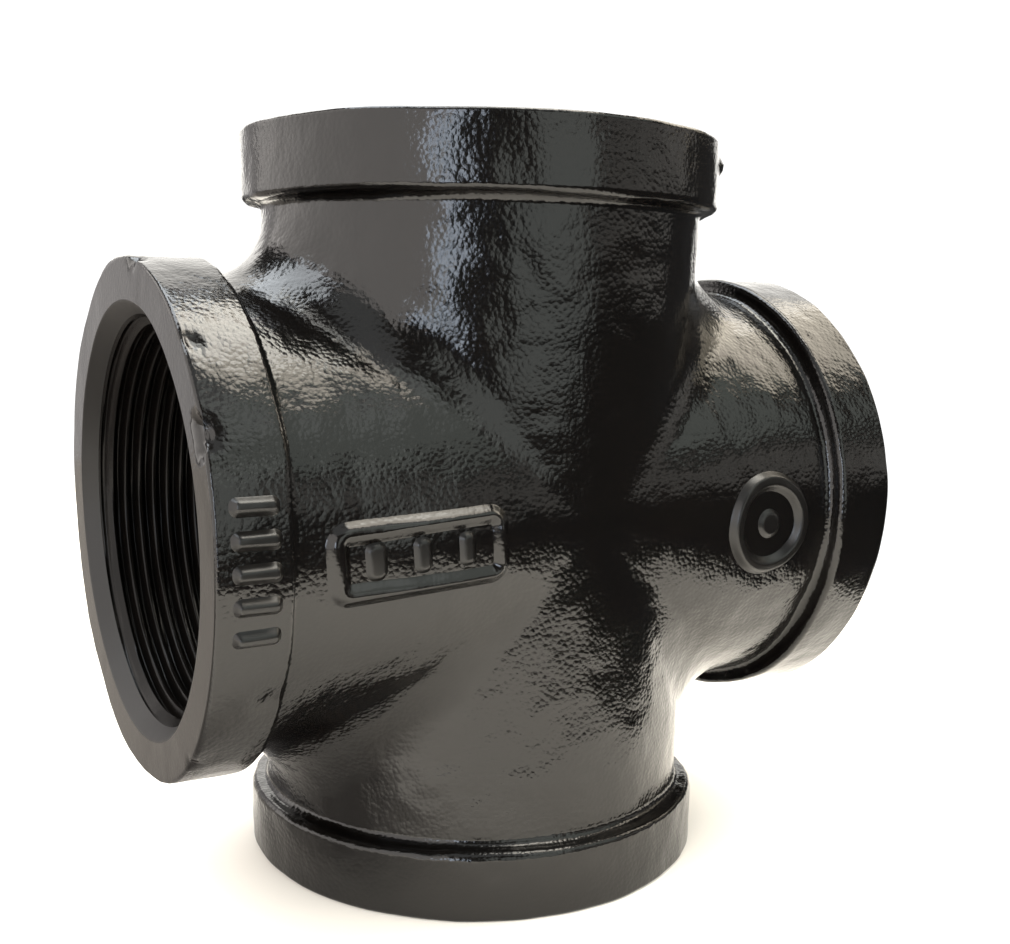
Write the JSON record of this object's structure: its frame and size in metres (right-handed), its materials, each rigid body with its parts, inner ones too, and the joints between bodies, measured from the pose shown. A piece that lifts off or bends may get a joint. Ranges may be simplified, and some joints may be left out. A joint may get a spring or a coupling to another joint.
{
  "type": "cross pipe fitting",
  "caption": "Banded cross pipe fitting: four internally threaded outlets in one plane join at a hollow crossing body with filleted crotches.",
  "frame": {"origin": "the point where the two bores cross, half way between opposite outlet faces", "axes": "+X out of the right outlet, +Z out of the top outlet, +Y away from the side with the raised marks"},
  "size_m": [0.1142, 0.0763, 0.1142],
  "materials": {
    "varnished_iron_skin": "sand-cast malleable iron under a glossy black bitumen varnish",
    "varnished_iron_thread": "cut thread in malleable iron, darkened by the same varnish"
  },
  "bodies": {
    "root": {"crossing_body": "varnished_iron_skin", "right_band": "varnished_iron_skin", "right_threaded_barrel": "varnished_iron_thread", "top_band": "varnished_iron_skin", "top_threaded_barrel": "varnished_iron_thread", "left_band": "varnished_iron_skin", "left_threaded_barrel": "varnished_iron_thread", "bottom_band": "varnished_iron_skin", "bottom_threaded_barrel": "varnished_iron_thread", "panel_frame": "varnished_iron_skin", "panel_bar_1": "varnished_iron_skin", "panel_bar_2": "varnished_iron_skin", "panel_bar_3": "varnished_iron_skin", "round_mark_ring": "varnished_iron_skin", "round_mark_dot": "varnished_iron_skin", "band_bar_1": "varnished_iron_skin", "band_bar_2": "varnished_iron_skin", "band_bar_3": "varnished_iron_skin", "band_bar_4": "varnished_iron_skin", "band_bar_5": "varnished_iron_skin"}
  },
  "joints": []
}
